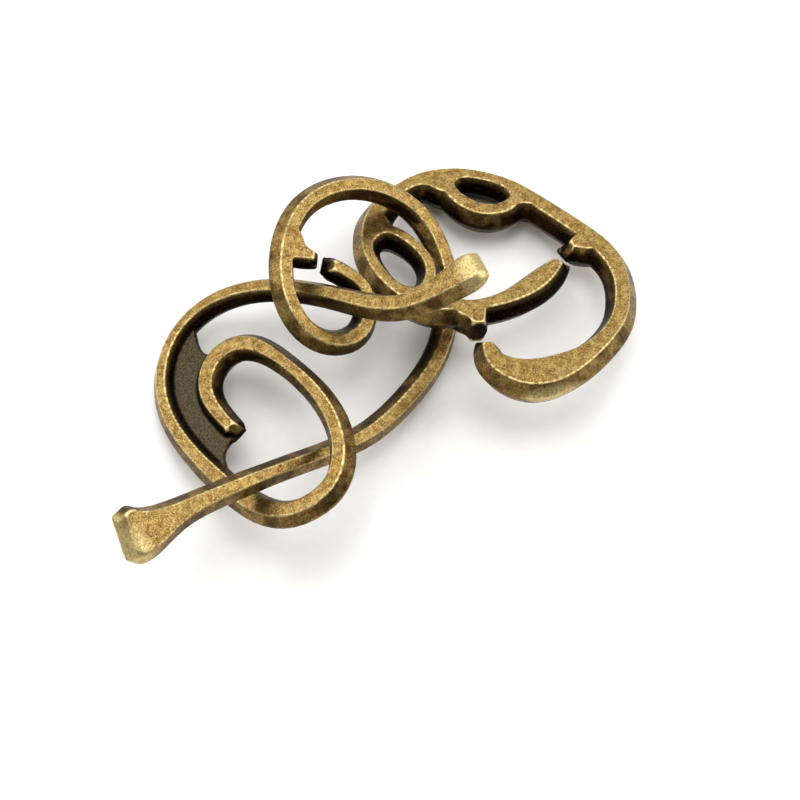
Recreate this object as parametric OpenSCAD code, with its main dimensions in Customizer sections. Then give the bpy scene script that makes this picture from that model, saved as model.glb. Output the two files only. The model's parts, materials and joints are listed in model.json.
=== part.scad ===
// Three-piece disentanglement puzzle: a ring scroll and a web scroll, linked
// through each other and through a flat eye frame. Each piece is one flat
// casting whose sloping walls meet at a parting line half way up.
// The puzzle lies tangled on a table. The origin is on the table under its
// middle, +Z is up, and the two scrolls' feet point along -X and +X.

/* [Size] */
// Width of the tangled puzzle, along X
puzzle_w = 80.9; // [60:0.1:120]
// Depth of the tangled puzzle, along Y
puzzle_l = 83; // [60:0.1:120]

/* [Scroll bars] */
// Thickness of the two scroll castings
scroll_t = 3.8; // [2.8:0.1:4.1]
// Slope of each scroll wall, from flat face to parting line
scroll_draft = 1.15; // [0.6:0.05:1.3]
// Width of the flat face at the ring scroll's foot
ring_foot_w = 7.2; // [4:0.1:9]
// Width of the flat face at the web scroll's foot
web_foot_w = 4.9; // [3:0.1:7]
// Reach of the nub inside the ring scroll, from the bar's middle
nub_l = 4; // [3:0.1:5]

/* [Eye frame] */
// Thickness of the eye frame
frame_t = 4.6; // [3.4:0.1:4.8]
// Slope of each eye frame wall, from flat face to parting line
frame_draft = 1.4; // [0.8:0.1:1.6]
// Length of the square post under the tongue
post_l = 4; // [2.5:0.1:5]
// Length of the tooth that faces the tongue
tooth_l = 3.7; // [2.4:0.1:4.3]

/* [Casting] */
// Height of the upright land at the parting line
land = 0.5; // [0.2:0.1:1]
// Thickness of the web plate inside the web scroll
web_t = 1; // [0.6:0.1:2]

/* [Hidden] */
bronze = "#8a6a35";

// The pieces are drawn for a puzzle of this width and depth, then stretched
// together, so that they stay linked and clear of each other at every size
drawn_w = 80.9;
drawn_l = 83;
stretch_x = puzzle_w / drawn_w;
stretch_y = puzzle_l / drawn_l;
stretch_z = (stretch_x + stretch_y) / 2;

// Thickest scroll and frame that still clear their neighbours as drawn
scroll_fit = 4.1;
frame_fit = 4.8;
scroll_drawn_t = min(scroll_t / stretch_z, scroll_fit);
frame_drawn_t = min(frame_t / stretch_z, frame_fit);

// Lean about X, then roll about Y, of each flat piece, and where it lies
ring_lean = 9;
ring_roll = 30;
web_lean = -1;
web_roll = -25;
frame_lean = -13;
frame_roll = 3.5;
ring_at = [-4.2, 17, 11.4];
web_at = [-21.3, -6.2, 8.6];
frame_at = [15, 14.3, 8.2];

// Rows are x, y and the width of the flat face. A smooth curve is drawn to
// them as a uniform cubic B-spline.
RING_PATH = [
    [-39, -52, ring_foot_w*0.84], [-38, -51.6, ring_foot_w*1.04],
    [-36, -50.8, ring_foot_w*0.78], [-33, -48.6, 3.4], [-29, -45.6, 2],
    [-22, -41.5, 1.8], [-13, -36.5, 1.4], [-4, -32, 1.5], [2.7, -27.8, 1.8],
    [9.9, -19.8, 1.9], [15, -12, 2], [16.9, -2.5, 2.1], [15.5, 5.5, 2.2],
    [11, 12, 2.2], [3.5, 14.5, 2.1], [-4.5, 13, 1.8], [-11.5, 8, 1.7],
    [-14.5, 0.5, 2.1], [-14.5, -8, 2], [-10.5, -14, 2], [-4.5, -15, 1.9],
    [1, -11.5, 2], [1.2, -5, 1.9], [-2, -2.6, 1.9], [-5.6, -1.8, 1.8]];
// The nub starts inside the ring's left side
nub_x = -13.4;
NUB_PATH = [
    [nub_x, 0, 7], [nub_x + nub_l*0.2, -0.2, 5.2], [nub_x + nub_l*0.4, -0.6, 3],
    [nub_x + nub_l*0.62, -0.9, 1.9], [nub_x + nub_l, -1, 1.2]];

WEB_PATH = [
    [38.6, 14.2, web_foot_w*0.84], [37.4, 13.7, web_foot_w*1.04],
    [34.5, 12.3, 3.8], [30, 10.4, 2.6], [24.5, 10, 2.3],
    [17.5, 13.5, 2], [10, 17.5, 1.6], [1, 20.5, 2], [-7.5, 20, 1.7],
    [-14, 15, 1.4], [-16, 6.5, 1.7], [-13.5, -2, 1.6], [-7, -11, 1.9],
    [1.5, -20, 2.5], [8, -23, 2.2], [15.5, -20, 2.4], [17, -13, 1.9],
    [14, -4, 1.8], [6.5, 5, 1.2], [-0.5, 11, 2.5], [-6.5, 9, 2.8],
    [-8, 2, 2], [-2.4, -5.1, 1.6]];
// Corners of the web plate, on the middle lines of the bars that it joins,
// and the smooth edges of the two notches between those bars
WEB_PLATE = [
    [-6, -12], [-13, -2], [-15, 8], [-15, 14], [-11.5, 17.5]];
UPPER_NOTCH = [[-10.4, 17], [-10, 14.4], [-9.4, 12.1], [-8.5, 10.5], [-6.9, 9.7], [-5.5, 9.6]];
WEB_HOOK_SIDE = [[-8, 8], [-8, 3], [-2.9, -4.5]];
LOWER_NOTCH = [[-2.4, -5.5], [-2.7, -7], [-3.8, -7.9], [-4.1, -9.5], [-3.3, -11.6], [-2.6, -14.4]];

// The eye frame's main bar: hook, right side, top, left side and tongue
RIM_PATH = [
    [0.8, -13.2, 1.6], [1.4, -17, 2.8], [7.2, -20, 6], [13, -17, 4.7],
    [17.5, -13.5, 2.4], [22, -7, 2.2], [22.9, -1.5, 2.3], [22.9, 4.5, 2.3],
    [20.5, 10, 3.2], [16, 14.5, 2.6], [8.2, 21.3, 2.7], [4.5, 24.6, 1.3],
    [0, 25.9, 1.1], [-4, 26, 1.6], [-8, 24.1, 3.2], [-10, 23.4, 2.3],
    [-12.6, 21.6, 1.7], [-15, 18.5, 2.2], [-16.7, 15.2, 2.8], [-17.9, 12, 2.6],
    [-18.4, 8, 1.5], [-17.9, 4.5, 1.4], [-16.1, 1, 1.6], [-13.8, -1.9, 1.7],
    [-11.5, -3.6, 2.6], [-8, -4.7, 4], [-5, -5, 3], [-2.4, -5.2, 1.8],
    [0, -4.8, 1.9], [3, -3.6, 2.2], [6.5, -1.3, 3], [9.4, 1.5, 3.3],
    [11.6, 4.4, 2.5], [12.7, 6, 1.5]];
// Bar around the oval window under the rim
OVAL_LOOP = [
    [-5.3, 23, 2], [-3.6, 25.2, 1.4], [-1, 25.3, 1.2], [1.6, 24.8, 1.2],
    [4, 23.9, 1.2], [5.7, 22.5, 1.2], [6.3, 20.9, 1.7], [5.9, 19.4, 1.8],
    [4.2, 17.7, 2], [1.8, 17, 2.3], [-0.5, 17.4, 2.4], [-2.6, 18.8, 2.2],
    [-4.3, 20.8, 2]];
// Bar around the eye at the left
EYE_LOOP = [
    [-18, 8.2, 1], [-16.9, 10.5, 1.4], [-14.6, 11.6, 1.8], [-12, 9.8, 1.5],
    [-9.6, 7.2, 1.4], [-8.1, 4, 1.4], [-7.9, 0.8, 1.5], [-9, -2.2, 1.8],
    [-11.3, -2.8, 1.3], [-13.5, -1.7, 1], [-15.5, 0.8, 1], [-17, 3.7, 1],
    [-17.9, 6, 1]];
// The post starts on the tongue's middle line and the tooth on the right side's
post_y = -5;
post_draft = 0.6;
POST_PATH = [
    [-1.6, post_y, 7.4], [-1.4, post_y - post_l*0.28, 5], [-0.8, post_y - post_l*0.55, 2.8],
    [-0.5, post_y - post_l, 1.9]];
tooth_x = 18.9;
TOOTH_PATH = [
    [tooth_x, 11.4, 3.6], [tooth_x - tooth_l*0.3, 11.2, 4.2],
    [tooth_x - tooth_l*0.65, 10.7, 3.3], [tooth_x - tooth_l*0.9, 10.3, 2],
    [tooth_x - tooth_l, 10.1, 1.4]];
// Short bars that round the window's corners: left and right of the oval
// and above the eye. Their ends are buried in the bars that they join.
CORNER_PATHS = [
    [[-10, 23.2, 2], [-8.9, 23.5, 2.3], [-7.2, 23.2, 2.4], [-5.7, 21.9, 2.2], [-5, 21.5, 1.4]],
    [[5.2, 18.8, 1.4], [6.5, 19.7, 1.4], [8, 20, 1.4], [9.5, 19.6, 1.4], [10.8, 18.6, 1.4]],
    [[-16.5, 14.6, 1.5], [-16.1, 13.6, 1.6], [-15.5, 12.5, 1.6], [-14.8, 11.7, 1.4]]];

// Point on a uniform cubic B-spline with control points a, b, c and d
function blend(a, b, c, d, t) =
    (pow(1-t, 3)*a + (3*t*t*t - 6*t*t + 4)*b + (-3*t*t*t + 3*t*t + 3*t + 1)*c + t*t*t*d) / 6;

// Smooth curve to rows P, starting and ending on its end rows
function curve(P, steps) =
    let (last = len(P) - 1,
         X = concat([2*P[0] - P[1]], P, [2*P[last] - P[last-1]]))
    [for (i = [0:last-1]) for (k = [0:steps-1]) blend(X[i], X[i+1], X[i+2], X[i+3], k/steps),
     P[last]];

// Smooth closed curve around rows P
function closed_curve(P, steps) =
    let (n = len(P))
    [for (i = [0:n-1]) for (k = [0:steps-1])
        blend(P[(i+n-1)%n], P[i], P[(i+1)%n], P[(i+2)%n], k/steps)];

// Direction from row a to row b, as a unit vector in the plane
function heading(a, b) = let (d = [b[0]-a[0], b[1]-a[1]]) d / norm(d);

// Eight corners of a bar's section at row q: flat faces half_t above and
// below the parting line, and the land between its sloping walls
function section(q, dir, draft, half_t, reach = 0) =
    let (f = q[2]/2, w = f + draft, h = land/2)
    [for (v = [[f, half_t], [w, h], [w, -h], [f, -half_t],
               [-f, -half_t], [-w, -h], [-w, h], [-f, half_t]])
        [q[0] - dir[1]*v[0] + dir[0]*reach, q[1] + dir[0]*v[0] + dir[1]*reach, v[1]]];

// Narrowed row for a bar's end, which is never quite pointed
least_end_w = 0.2;
function end_row(q, draft) = [q[0], q[1], max(q[2] - draft, least_end_w)];

// How much more gently a bar's ends slope than its walls
end_slope = 1.35;

// Bar along rows P, with sloping ends or ends cut square
module bar(P, t, draft, square = false, steps = 5) {
    Q = curve(P, steps);
    last = len(Q) - 1;
    body = [for (i = [0:last])
        section(Q[i], heading(Q[max(i-1, 0)], Q[min(i+1, last)]), draft, t/2)];
    start = section(end_row(Q[0], draft), heading(Q[0], Q[1]), draft, land/2,
        -draft*end_slope);
    tip = section(end_row(Q[last], draft), heading(Q[last-1], Q[last]), draft, land/2,
        draft*end_slope);
    rings = square ? body : concat([start], body, [tip]);
    n = len(rings);
    sides = [for (i = [0:n-2]) for (k = [0:7])
        let (a = i*8 + k, b = i*8 + (k+1)%8)
        each [[a, b, b+8], [a, b+8, a+8]]];
    caps = [[for (k = [7:-1:0]) k], [for (k = [0:7]) (n-1)*8 + k]];
    polyhedron([for (r = rings) each r], concat(sides, caps), convexity = 10);
}

// Closed bar around rows P
module loop(P, t, draft, steps = 4) {
    Q = closed_curve(P, steps);
    n = len(Q);
    rings = [for (i = [0:n-1])
        section(Q[i], heading(Q[(i+n-1)%n], Q[(i+1)%n]), draft, t/2)];
    sides = [for (i = [0:n-1]) for (k = [0:7])
        let (j = (i+1)%n, a = i*8 + k, b = i*8 + (k+1)%8, c = j*8 + k, d = j*8 + (k+1)%8)
        each [[a, b, d], [a, d, c]]];
    polyhedron([for (r = rings) each r], sides, convexity = 10);
}

// Tilts and places one flat piece, and stretches it to the puzzle's size
module place(lean, roll, at)
    scale([stretch_x, stretch_y, stretch_z])
    translate(at) rotate([lean, 0, 0]) rotate([0, roll, 0]) children();

module web_plate()
    translate([0, 0, -web_t/2])
    linear_extrude(web_t)
    polygon(concat(WEB_PLATE, curve(UPPER_NOTCH, 5), WEB_HOOK_SIDE, curve(LOWER_NOTCH, 5)));

module ring_scroll() {
    color(bronze)
    place(ring_lean, ring_roll, ring_at) {
        bar(RING_PATH, scroll_drawn_t, scroll_draft);
        bar(NUB_PATH, scroll_drawn_t, scroll_draft);
    }
}

module web_scroll() {
    color(bronze)
    place(web_lean, web_roll, web_at) {
        bar(WEB_PATH, scroll_drawn_t, scroll_draft);
        web_plate();
    }
}

module eye_frame() {
    color(bronze)
    place(frame_lean, frame_roll, frame_at) {
        bar(RIM_PATH, frame_drawn_t, frame_draft);
        loop(OVAL_LOOP, frame_drawn_t, frame_draft);
        loop(EYE_LOOP, frame_drawn_t, frame_draft);
        bar(POST_PATH, frame_drawn_t, post_draft, square = true);
        bar(TOOTH_PATH, frame_drawn_t, frame_draft);
        for (path = CORNER_PATHS) bar(path, frame_drawn_t, frame_draft);
    }
}

ring_scroll();
web_scroll();
eye_frame();
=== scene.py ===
"""A three-piece cast disentanglement puzzle in antique bronze, lying tangled on a pale table."""

import json
import logging
import math
from dataclasses import dataclass, field
from enum import Enum
from typing import Any, NamedTuple

import bpy
import numpy as np
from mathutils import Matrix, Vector, noise
from mathutils.bvhtree import BVHTree

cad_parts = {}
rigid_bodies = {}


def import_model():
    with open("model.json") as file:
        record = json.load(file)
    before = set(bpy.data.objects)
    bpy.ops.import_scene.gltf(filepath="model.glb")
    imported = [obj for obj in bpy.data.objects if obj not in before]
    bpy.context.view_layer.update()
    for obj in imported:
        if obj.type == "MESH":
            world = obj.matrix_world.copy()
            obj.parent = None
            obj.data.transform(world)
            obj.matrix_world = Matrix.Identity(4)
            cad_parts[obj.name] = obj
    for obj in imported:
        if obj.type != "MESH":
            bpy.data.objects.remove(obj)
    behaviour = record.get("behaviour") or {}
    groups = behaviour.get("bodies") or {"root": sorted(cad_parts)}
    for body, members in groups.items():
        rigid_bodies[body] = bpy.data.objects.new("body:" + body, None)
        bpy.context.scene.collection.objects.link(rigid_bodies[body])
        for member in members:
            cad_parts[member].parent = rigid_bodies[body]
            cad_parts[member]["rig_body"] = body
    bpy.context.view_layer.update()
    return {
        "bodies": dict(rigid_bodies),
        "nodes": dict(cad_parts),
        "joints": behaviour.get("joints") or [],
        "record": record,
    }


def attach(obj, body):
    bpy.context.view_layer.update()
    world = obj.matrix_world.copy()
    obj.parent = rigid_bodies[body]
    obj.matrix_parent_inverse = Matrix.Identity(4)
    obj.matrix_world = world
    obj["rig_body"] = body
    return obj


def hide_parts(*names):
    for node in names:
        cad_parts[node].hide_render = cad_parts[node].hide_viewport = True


LOG = logging.getLogger("puzzle")
MM = 0.001


class Mask(Enum):
    """Per-point values that tell the finish what kind of surface it is on."""

    RELIEF = "relief"  # 0 at the parting line, 1 on the flat faces
    FLAT = "flat"  # 1 where the surface lies parallel to the casting
    EDGE = "edge"  # 0.5 where flat, more on outward edges and less in inward corners
    OPEN = "open"  # share of the rays off the surface that miss the rest of the casting
    TIP = "tip"  # 1 at the far end of the casting, 0 over most of it


class Grain(Enum):
    """Noises that break the bronze up: blob size in millimetres, detail and roughness."""

    BLOTCH = (1.3, 4, 0.65)
    GRIT = (0.32, 3, 0.7)
    FLECK = (0.224, 2, 0.6)
    DRIFT = (3.9, 2, 0.5)


class Kind(Enum):
    """The parts of the stage that are not the puzzle."""

    FLOOR = "pale_table"
    BACK = "softbox_back"
    LEFT = "softbox_left"
    RIGHT = "softbox_right"
    FRONT = "softbox_front"
    TOP = "softbox_top"


class Span(NamedTuple):
    """A smooth step: as a value goes from low to high, the result goes from start to end."""

    low: float
    high: float
    start: float = 0.0
    end: float = 1.0


def linear(hex_colour: str) -> tuple[float, float, float, float]:
    """Turns an sRGB hex colour into linear RGBA.

    Args:
        hex_colour: a colour such as "#a58350".

    Returns:
        Red, green, blue and alpha for a shader socket.
    """
    parts = [int(hex_colour[i:i + 2], 16) / 255 for i in (1, 3, 5)]
    red, green, blue = (c / 12.92 if c <= 0.04045 else ((c + 0.055) / 1.055) ** 2.4 for c in parts)
    return (red, green, blue, 1.0)


def add(tree: bpy.types.NodeTree, kind: str, sockets: dict[Any, Any] | None = None,
        **settings: Any) -> bpy.types.Node:
    """Adds a shader node, sets it up and links it.

    Args:
        tree: the material's node tree.
        kind: the node's type name.
        sockets: input name or number to a value, or to the output socket that feeds it.
        settings: properties of the node itself.

    Returns:
        The new node.
    """
    node = tree.nodes.new(kind)
    for name, value in settings.items():
        setattr(node, name, value)
    for name, value in (sockets or {}).items():
        if isinstance(value, bpy.types.NodeSocket):
            tree.links.new(value, node.inputs[name])
        else:
            node.inputs[name].default_value = value
    return node


class Finish:
    """A material being put together, with a short way to add each kind of node."""

    def __init__(self, name: str) -> None:
        """Starts an empty material.

        Args:
            name: what the finish is.
        """
        self.material = bpy.data.materials.new(name)
        self.material.use_nodes = True
        self.tree = self.material.node_tree
        self.tree.nodes.clear()
        self.place = add(self.tree, "ShaderNodeTexCoord").outputs["Object"]

    def mask(self, mask: Mask) -> bpy.types.NodeSocket:
        """Reads a value that is stored on the mesh."""
        return add(self.tree, "ShaderNodeAttribute", attribute_name=mask.value).outputs["Fac"]

    def noise(self, size_mm: float, detail: float, roughness: float) -> bpy.types.NodeSocket:
        """Adds a noise whose blobs are size_mm across."""
        return add(self.tree, "ShaderNodeTexNoise", {
            "Vector": self.place, "Scale": 1 / (size_mm * MM), "Detail": detail,
            "Roughness": roughness}).outputs["Fac"]

    def ramp(self, value: bpy.types.NodeSocket, span: Span) -> bpy.types.NodeSocket:
        """Passes a value through a smooth step."""
        return add(self.tree, "ShaderNodeMapRange", {
            "Value": value, "From Min": span.low, "From Max": span.high, "To Min": span.start,
            "To Max": span.end}, interpolation_type="SMOOTHSTEP").outputs["Result"]

    def join(self, way: str, a: Any, b: Any) -> bpy.types.NodeSocket:
        """Joins two values, kept between 0 and 1."""
        return add(self.tree, "ShaderNodeMath", {0: a, 1: b}, operation=way,
                   use_clamp=True).outputs[0]

    def mix(self, share: bpy.types.NodeSocket, a: Any, b: Any) -> bpy.types.NodeSocket:
        """Blends from a to b by share; each is a hex colour or a socket."""
        a, b = (linear(c) if isinstance(c, str) else c for c in (a, b))
        return add(self.tree, "ShaderNodeMix", {"Factor": share, "A": a, "B": b},
                   data_type="RGBA").outputs["Result"]

    def bump(self, height: bpy.types.NodeSocket, depth_mm: float, strength: float,
             under: dict[str, bpy.types.NodeSocket] | None = None) -> bpy.types.NodeSocket:
        """Tilts the light with a relief depth_mm deep, on top of the one in under."""
        return add(self.tree, "ShaderNodeBump", {
            "Height": height, "Distance": depth_mm * MM, "Strength": strength,
            **(under or {})}).outputs["Normal"]

    def close(self, sockets: dict[str, Any]) -> bpy.types.Material:
        """Puts the surface on and gives the material back.

        Args:
            sockets: inputs of the surface shader.

        Returns:
            The finished material.
        """
        shader = add(self.tree, "ShaderNodeBsdfPrincipled", sockets)
        add(self.tree, "ShaderNodeOutputMaterial", {"Surface": shader.outputs["BSDF"]})
        return self.material


@dataclass(frozen=True)
class AntiqueBronze:
    """Die-cast zinc, plated with bronze, stained dark and then tumbled.

    The stain stays on the side walls and in the corners. Tumbling wears it off the flat
    faces, which turn a mottled gold brown, and most of all off the edges. The edges and the
    far ends are also painted pale as a painted highlight.
    """

    # The pale colour of bare metal also paints the highlight on the edges and far ends
    worn_and_highlight: str = "#dcc88c"
    plate: str = "#987e48"
    stained: str = "#735629"
    speck: str = "#38230f"
    wall: str = "#27190c"
    corner: str = "#070403"
    web: str = "#4a4233"
    web_stain: str = "#37301f"

    # Tumbled faces: where they lie, and how their blotches, pits and flecks set in
    face_flat: Span = Span(0.72, 0.93)
    face_height: Span = Span(0.6, 0.9)
    face_blotch: Span = Span(0.36, 0.64)
    face_pits: Span = Span(0.5, 0.62, 0, 0.65)
    face_flecks: Span = Span(0.54, 0.68, 0, 0.4)

    # Walls: how shut in they are, and how much plating shows on the open ones
    wall_shut: Span = Span(0.94, 0.74)
    wall_open: Span = Span(0.86, 0.99)
    wall_grit: Span = Span(0.56, 0.68, 0, 0.3)
    wall_drift: Span = Span(0.36, 0.58, 0.25, 0.85)
    wall_shoulder: Span = Span(0.5, 1.0, 0, 0.4)

    # Web plate: flat, but far below the faces
    web_flat: Span = Span(0.85, 0.97)
    web_height: Span = Span(0.5, 0.35)
    web_grit: Span = Span(0.4, 0.62)

    # Edges and far ends, which take the pale colour for rubbing and a painted highlight, and
    # grooves that keep their stain
    edge_bend: Span = Span(0.69, 0.83)
    edge_height: Span = Span(0.5, 0.9)
    edge_fleck: float = 0.16
    edge_highlight_share: float = 0.9
    # Painted highlight on the far ends, mixed with rubbing
    tip_rub_and_highlight: Span = Span(0.62, 0.46, 0.35, 0.75)
    groove_bend: Span = Span(0.42, 0.3, 0, 0.8)

    # Gloss and fine relief
    face_roughness: float = 0.38
    wall_roughness: float = 0.42
    grit_roughness: Span = Span(0.3, 0.7, -0.06, 0.1)
    grit_depth_mm: float = 0.03
    grit_strength: float = 0.7
    blotch_depth_mm: float = 0.09
    blotch_strength: float = 0.5

    def material(self) -> bpy.types.Material:
        """Builds the finish.

        Returns:
            The material, driven by the masks stored on the mesh.
        """
        finish = Finish("antique_bronze_plated_zinc")
        mask = {m: finish.mask(m) for m in Mask}
        grain = {g: finish.noise(*g.value) for g in Grain}
        plating = self.plating(finish, grain)
        walls = self.walls(finish, mask, grain, plating)
        face = finish.join("MULTIPLY", finish.ramp(mask[Mask.FLAT], self.face_flat),
                           finish.ramp(mask[Mask.RELIEF], self.face_height))
        crest = finish.join("ADD", mask[Mask.EDGE],
                            finish.join("MULTIPLY", grain[Grain.FLECK], self.edge_fleck))
        # Where the edges turn pale: rubbing together with a painted highlight
        edge_wear_and_highlight = finish.join("MULTIPLY", finish.ramp(crest, self.edge_bend),
                           finish.ramp(mask[Mask.RELIEF], self.edge_height))
        colour = finish.mix(face, walls, plating)
        colour = self.rubbed_and_highlit(finish, mask, grain, colour, edge_wear_and_highlight)
        bare = finish.join("MAXIMUM", face, edge_wear_and_highlight)
        rough = finish.ramp(bare, Span(0, 1, self.wall_roughness, self.face_roughness))
        rough = finish.join("ADD", rough, finish.ramp(grain[Grain.GRIT], self.grit_roughness))
        fine = finish.bump(grain[Grain.GRIT], self.grit_depth_mm, self.grit_strength)
        relief = finish.bump(grain[Grain.BLOTCH], self.blotch_depth_mm, self.blotch_strength,
                             {"Normal": fine})
        return finish.close({"Base Color": colour, "Roughness": rough, "Metallic": 1.0,
                             "Normal": relief})

    def plating(self, finish: Finish, grain: dict[Grain, Any]) -> bpy.types.NodeSocket:
        """Colours tumbled plating: brown blotches, pits that hold stain, bare flecks.

        Args:
            finish: the material being put together.
            grain: its noises.

        Returns:
            The colour of the plating.
        """
        colour = finish.mix(finish.ramp(grain[Grain.BLOTCH], self.face_blotch),
                            self.stained, self.plate)
        colour = finish.mix(finish.ramp(grain[Grain.GRIT], self.face_pits), colour, self.speck)
        return finish.mix(finish.ramp(grain[Grain.FLECK], self.face_flecks), colour, self.worn_and_highlight)

    def walls(self, finish: Finish, mask: dict[Mask, Any], grain: dict[Grain, Any],
              plating: bpy.types.NodeSocket) -> bpy.types.NodeSocket:
        """Colours what the tumbling media could not reach: the side walls and the web plate.

        Args:
            finish: the material being put together.
            mask: what is stored on the mesh.
            grain: its noises.
            plating: colour of the tumbled plating, which shows on open walls.

        Returns:
            The colour of the walls and of the olive black web plate.
        """
        colour = finish.mix(finish.ramp(mask[Mask.OPEN], self.wall_shut), self.wall, self.corner)
        colour = finish.mix(finish.ramp(grain[Grain.GRIT], self.wall_grit), colour, self.stained)
        reached = finish.join("MULTIPLY", finish.ramp(mask[Mask.OPEN], self.wall_open),
                              finish.ramp(grain[Grain.DRIFT], self.wall_drift))
        shoulder = finish.ramp(mask[Mask.RELIEF], self.wall_shoulder)
        colour = finish.mix(finish.join("MAXIMUM", reached, shoulder), colour, plating)
        low = finish.join("MULTIPLY", finish.ramp(mask[Mask.FLAT], self.web_flat),
                          finish.ramp(mask[Mask.RELIEF], self.web_height))
        web = finish.mix(finish.ramp(grain[Grain.GRIT], self.web_grit), self.web, self.web_stain)
        return finish.mix(low, colour, web)

    def rubbed_and_highlit(self, finish: Finish, mask: dict[Mask, Any], grain: dict[Grain, Any],
                colour: bpy.types.NodeSocket, edge_wear_and_highlight: bpy.types.NodeSocket) -> bpy.types.NodeSocket:
        """Paints the edges and the far ends pale, for rubbing and a painted highlight, and leaves
        the inward corners black.

        Args:
            finish: the material being put together.
            mask: what is stored on the mesh.
            grain: its noises.
            colour: the colour so far.
            edge_wear_and_highlight: how strongly each edge shows rubbing and its painted
                highlight.

        Returns:
            The finished colour.
        """
        # Painted highlight: the outward edges take the pale colour, on top of their rubbing
        colour = finish.mix(finish.join("MULTIPLY", edge_wear_and_highlight, self.edge_highlight_share), colour, self.worn_and_highlight)
        # The far ends take the pale colour on their walls too: a painted highlight, along with
        # rubbing from striking the other pieces most
        tip_highlight_and_rub = finish.join("MULTIPLY", mask[Mask.TIP],
                             finish.ramp(grain[Grain.GRIT], self.tip_rub_and_highlight))
        colour = finish.mix(tip_highlight_and_rub, colour, self.worn_and_highlight)
        return finish.mix(finish.ramp(mask[Mask.EDGE], self.groove_bend), colour, self.corner)


@dataclass(frozen=True)
class MattBoard:
    """Painted board: an even, matt, slightly warm white with a faint paper grain."""

    paint: str = "#fbfaf8"
    shade: str = "#f4f3f0"
    grain: tuple[float, float, float] = (1.5, 3, 0.5)
    roughness: float = 0.8

    def material(self) -> bpy.types.Material:
        """Builds the finish.

        Returns:
            The material of the table.
        """
        finish = Finish("matt_white_board")
        colour = finish.mix(finish.noise(*self.grain), self.shade, self.paint)
        return finish.close({"Base Color": colour, "Roughness": self.roughness})


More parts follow.
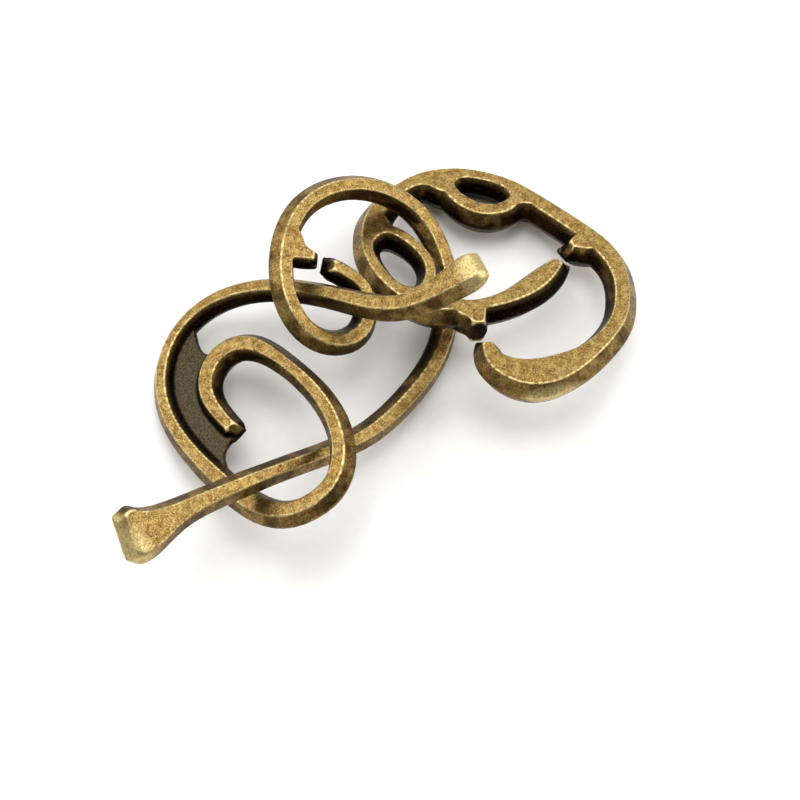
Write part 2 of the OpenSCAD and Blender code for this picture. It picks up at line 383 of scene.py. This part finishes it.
@dataclass
class Casting:
    """One flat casting: its solid, softened as cast and tumbled metal is."""

    node: str
    skin_mm: float = 0.2
    soften_factor: float = 0.5
    soften_passes: int = 4
    dent_mm: float = 0.05
    dent_size_mm: float = 4.0
    ripple_share: float = 0.4
    ripple_ratio: float = 3.7
    rays: int = 14
    ray_start_mm: float = 0.05
    ray_reach_mm: float = 16.0
    open_passes: int = 6
    edge_radius_mm: float = 0.5
    edge_passes: int = 3
    tip_mm: float = 5.0
    tip_passes: int = 24
    masks: dict[Mask, np.ndarray] = field(default_factory=dict)

    def build(self, frame: dict[str, Any], metal: bpy.types.Material) -> bpy.types.Object:
        """Makes the finished casting and puts it on its body.

        Args:
            metal: the metal's material.

        Returns:
            The piece that stands for the node.
        """
        source = frame["nodes"][self.node]
        piece = self.skin(source)
        self.dent(piece.data)
        self.round_tip(piece.data, source.data)
        self.store_masks(piece.data, source.data)
        piece.data.materials.clear()
        piece.data.materials.append(metal)
        piece.data.shade_smooth()
        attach(piece, source["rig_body"])
        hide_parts(self.node)
        LOG.info("%s: %d points", piece.name, len(piece.data.vertices))
        return piece

    def skin(self, source: bpy.types.Object) -> bpy.types.Object:
        """Covers the solid with an even fine mesh and rounds its edges.

        Args:
            source: the node's object.

        Returns:
            A new object with the softened mesh.
        """
        piece = bpy.data.objects.new(self.node + "_cast", source.data.copy())
        bpy.context.scene.collection.objects.link(piece)
        remesh = piece.modifiers.new("even_skin", "REMESH")
        remesh.mode = "VOXEL"
        remesh.voxel_size = self.skin_mm * MM
        soften = piece.modifiers.new("tumbled_edges", "SMOOTH")
        soften.factor = self.soften_factor
        soften.iterations = self.soften_passes
        graph = bpy.context.evaluated_depsgraph_get()
        mesh = bpy.data.meshes.new_from_object(piece.evaluated_get(graph))
        piece.modifiers.clear()
        piece.data = mesh
        return piece

    def dent(self, mesh: bpy.types.Mesh) -> None:
        """Sinks the surface by up to dent_mm in broad dents with a finer ripple on them."""
        spots, normals = points_of(mesh)
        depth = np.array([noise.noise(Vector(p) / self.dent_size_mm) + self.ripple_share
                          * noise.noise(Vector(p) / self.dent_size_mm * self.ripple_ratio)
                          for p in spots])
        depth = self.dent_mm * np.clip(0.5 + 0.5 * depth, 0, 1)
        mesh.vertices.foreach_set("co", ((spots - normals * depth[:, None]) * MM).ravel())
        mesh.update()

    def tip_mask(self, spots: np.ndarray, corners: np.ndarray) -> np.ndarray:
        """Finds the far end of the casting.

        Args:
            spots: points in millimetres.
            corners: the solid's own points in millimetres.

        Returns:
            For each spot, 1 over the outer half of tip_mm, and 0 from tip_mm inward.
        """
        middle = corners.mean(0)
        reach = np.linalg.norm(corners - middle, axis=1).max()
        away = np.linalg.norm(spots - middle, axis=1)
        return np.clip((away - reach + self.tip_mm) / (self.tip_mm / 2), 0, 1)

    def round_tip(self, mesh: bpy.types.Mesh, solid: bpy.types.Mesh) -> None:
        """Rounds the far end, which the tumbler wears down most.

        Args:
            mesh: the softened mesh.
            solid: the node's own mesh.
        """
        spots, _ = points_of(mesh)
        corners, _ = points_of(solid)
        share = self.tip_mask(spots, corners)[:, None]
        a, b = edge_ends(mesh)
        for _ in range(self.tip_passes):
            even = np.stack([smoothed(spots[:, i], a, b, 1) for i in range(3)], axis=1)
            spots = spots + (even - spots) * share
        mesh.vertices.foreach_set("co", (spots * MM).ravel())
        mesh.update()

    def store_masks(self, mesh: bpy.types.Mesh, solid: bpy.types.Mesh) -> None:
        """Works out and stores the masks that the finish reads.

        Args:
            mesh: the softened mesh.
            solid: the node's own mesh, whose thin direction gives the casting's plane.
        """
        spots, normals = points_of(mesh)
        corners, _ = points_of(solid)
        spread = corners - corners.mean(0)
        axis = np.linalg.eigh(spread.T @ spread)[1][:, 0]
        heights = corners @ axis
        middle, half = (heights.max() + heights.min()) / 2, np.ptp(heights) / 2
        self.masks[Mask.RELIEF] = np.clip(np.abs(spots @ axis - middle) / half, 0, 1)
        self.masks[Mask.FLAT] = np.abs(normals @ axis)
        self.masks[Mask.EDGE] = self.edge_mask(mesh, spots, normals)
        self.masks[Mask.OPEN] = self.open_mask(mesh, spots, normals)
        self.masks[Mask.TIP] = self.tip_mask(spots, corners)
        for mask, values in self.masks.items():
            layer = mesh.attributes.new(mask.value, "FLOAT", "POINT")
            layer.data.foreach_set("value", values.astype(np.float32))

    def edge_mask(self, mesh: bpy.types.Mesh, spots: np.ndarray,
                  normals: np.ndarray) -> np.ndarray:
        """Measures how far the surface bends outward at each point.

        Args:
            mesh: the softened mesh.
            spots: its points in millimetres.
            normals: its unit normals.

        Returns:
            0.5 where flat, nearer 1 on outward edges and nearer 0 in inward corners.
        """
        a, b = edge_ends(mesh)
        along = spots[b] - spots[a]
        bend = ((normals[b] - normals[a]) * along).sum(1) / (along ** 2).sum(1)
        size = len(spots)
        total = np.bincount(a, bend, size) + np.bincount(b, bend, size)
        count = np.bincount(a, minlength=size) + np.bincount(b, minlength=size)
        edge = np.clip(0.5 + 0.5 * self.edge_radius_mm * total / count, 0, 1)
        return smoothed(edge, a, b, self.edge_passes)

    def open_mask(self, mesh: bpy.types.Mesh, spots: np.ndarray,
                  normals: np.ndarray) -> np.ndarray:
        """Measures how open each point lies, by rays cast off the surface.

        Args:
            mesh: the softened mesh.
            spots: its points in millimetres.
            normals: its unit normals.

        Returns:
            The share of rays that leave without meeting the casting.
        """
        faces = [tuple(f.vertices) for f in mesh.polygons]
        tree = BVHTree.FromPolygons([tuple(p) for p in spots], faces)
        starts = [Vector(p) for p in spots + normals * self.ray_start_mm]
        side, other = sideways(normals)
        free = np.zeros(len(spots))
        for x, y, up in half_sphere(self.rays):
            ways = side * x + other * y + normals * up
            free += [tree.ray_cast(s, Vector(w), self.ray_reach_mm)[0] is None
                     for s, w in zip(starts, ways)]
        a, b = edge_ends(mesh)
        return smoothed(free / self.rays, a, b, self.open_passes)


def half_sphere(count: int) -> np.ndarray:
    """Spreads directions over a half sphere, closer together near its pole.

    Args:
        count: how many directions.

    Returns:
        One row for each: two sideways parts, then the part towards the pole.
    """
    golden_angle = math.pi * (3 - math.sqrt(5))
    step = np.arange(count)
    radius, turn = np.sqrt((step + 0.5) / count), step * golden_angle
    return np.stack([radius * np.cos(turn), radius * np.sin(turn), np.sqrt(1 - radius ** 2)],
                    axis=1)


def sideways(normals: np.ndarray) -> tuple[np.ndarray, np.ndarray]:
    """Returns two unit directions square to each normal and to each other."""
    near_x = 0.9
    helper = np.where(np.abs(normals[:, :1]) < near_x, [[1.0, 0, 0]], [[0, 1.0, 0]])
    side = np.cross(normals, helper)
    side /= np.linalg.norm(side, axis=1)[:, None]
    return side, np.cross(normals, side)


def points_of(mesh: bpy.types.Mesh) -> tuple[np.ndarray, np.ndarray]:
    """Reads a mesh.

    Args:
        mesh: any mesh in metres.

    Returns:
        Its points in millimetres and its unit normals.
    """
    spots = np.zeros(len(mesh.vertices) * 3)
    mesh.vertices.foreach_get("co", spots)
    normals = np.zeros(len(mesh.vertices) * 3)
    mesh.vertex_normals.foreach_get("vector", normals)
    return spots.reshape(-1, 3) / MM, normals.reshape(-1, 3)


def edge_ends(mesh: bpy.types.Mesh) -> tuple[np.ndarray, np.ndarray]:
    """Returns the first and second point of every edge."""
    ends = np.zeros(len(mesh.edges) * 2, np.int64)
    mesh.edges.foreach_get("vertices", ends)
    return ends[0::2], ends[1::2]


def smoothed(values: np.ndarray, a: np.ndarray, b: np.ndarray, passes: int) -> np.ndarray:
    """Evens values out over neighbouring points.

    Args:
        values: one number per point.
        a: first point of every edge.
        b: second point of every edge.
        passes: how often to average.

    Returns:
        The evened values.
    """
    size = len(values)
    count = 1 + np.bincount(a, minlength=size) + np.bincount(b, minlength=size)
    for _ in range(passes):
        near = np.bincount(a, values[b], size) + np.bincount(b, values[a], size)
        values = (values + near) / count
    return values


class SoftBox(NamedTuple):
    """A lamp with a wide soft face: its name, place, size and power."""

    kind: Kind
    place_m: tuple[float, float, float]
    wide_m: float
    tall_m: float
    watts: float


@dataclass
class Studio:
    """A pale table under soft boxes, and the camera that looks down on it."""

    table_m: float = 3.0
    room_colour: str = "#ffffff"
    room_strength: float = 0.25
    lamp_aim_mm: tuple[float, float, float] = (0, 0, 10)
    aim_mm: tuple[float, float, float] = (2.1, -9.7, 15.1)
    distance_m: float = 0.42
    tilt_deg: float = 29.617
    roll_deg: float = -1.032
    lens_mm: float = 122.85
    sensor_mm: float = 36
    near_m: float = 0.01
    # The front box is the weakest, so that the walls towards the camera stay dark
    lamps: tuple[SoftBox, ...] = (
        SoftBox(Kind.BACK, (0.0, 0.55, 0.38), 0.7, 0.4, 1.9),
        SoftBox(Kind.LEFT, (-0.5, 0.2, 0.38), 0.5, 0.5, 2.2),
        SoftBox(Kind.RIGHT, (0.52, 0.12, 0.32), 0.5, 0.5, 2.3),
        SoftBox(Kind.FRONT, (-0.25, -0.55, 0.3), 0.8, 0.35, 0.9),
        SoftBox(Kind.TOP, (0.0, 0.1, 0.7), 0.5, 0.5, 2.6))

    def build(self) -> None:
        """Makes the table, the lamps, the room and the camera."""
        self.table()
        for lamp in self.lamps:
            self.light(lamp)
        self.room()
        self.camera()

    def table(self) -> None:
        """Lays the table top at the height that the puzzle rests on."""
        half = self.table_m / 2
        corners = [(x, y, 0) for x, y in ((-half, -half), (half, -half), (half, half),
                                          (-half, half))]
        mesh = bpy.data.meshes.new(Kind.FLOOR.value)
        mesh.from_pydata(corners, [], [(0, 1, 2, 3)])
        mesh.materials.append(MattBoard().material())
        top = bpy.data.objects.new(Kind.FLOOR.value, mesh)
        bpy.context.scene.collection.objects.link(top)

    def light(self, box: SoftBox) -> None:
        """Hangs one soft box that faces the puzzle.

        Args:
            box: where it hangs, how large it is and how bright.
        """
        lamp = bpy.data.lights.new(box.kind.value, "AREA")
        lamp.shape = "RECTANGLE"
        lamp.size = box.wide_m
        lamp.size_y = box.tall_m
        lamp.energy = box.watts
        hung = bpy.data.objects.new(box.kind.value, lamp)
        hung.location = box.place_m
        way = Vector(self.lamp_aim_mm) * MM - Vector(box.place_m)
        hung.rotation_euler = way.to_track_quat("-Z", "Y").to_euler()
        bpy.context.scene.collection.objects.link(hung)

    def room(self) -> None:
        """Gives the room a dim even light, shown with plain colours."""
        world = bpy.data.worlds.new("studio_room")
        world.use_nodes = True
        back = world.node_tree.nodes["Background"]
        back.inputs["Color"].default_value = linear(self.room_colour)
        back.inputs["Strength"].default_value = self.room_strength
        bpy.context.scene.world = world
        bpy.context.scene.view_settings.view_transform = "Standard"

    def camera(self) -> None:
        """Sets the camera up, looking down at the puzzle."""
        lens = bpy.data.cameras.new("camera")
        lens.lens = self.lens_mm
        lens.sensor_width = self.sensor_mm
        lens.clip_start = self.near_m
        view = bpy.data.objects.new("camera", lens)
        view.rotation_euler = (math.radians(self.tilt_deg), math.radians(self.roll_deg), 0)
        back = view.rotation_euler.to_matrix() @ Vector((0, 0, self.distance_m))
        view.location = Vector(self.aim_mm) * MM + back
        bpy.context.scene.collection.objects.link(view)
        bpy.context.scene.camera = view


def main() -> None:
    """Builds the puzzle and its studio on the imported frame."""
    logging.basicConfig(level=logging.INFO, format="%(message)s")
    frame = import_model()
    bronze = AntiqueBronze().material()
    for casting in (Casting("ring_scroll"), Casting("web_scroll"),
                    Casting("eye_frame", tip_mm=1.2)):
        casting.build(frame, bronze)
    Studio().build()


if __name__ == "__main__":
    main()
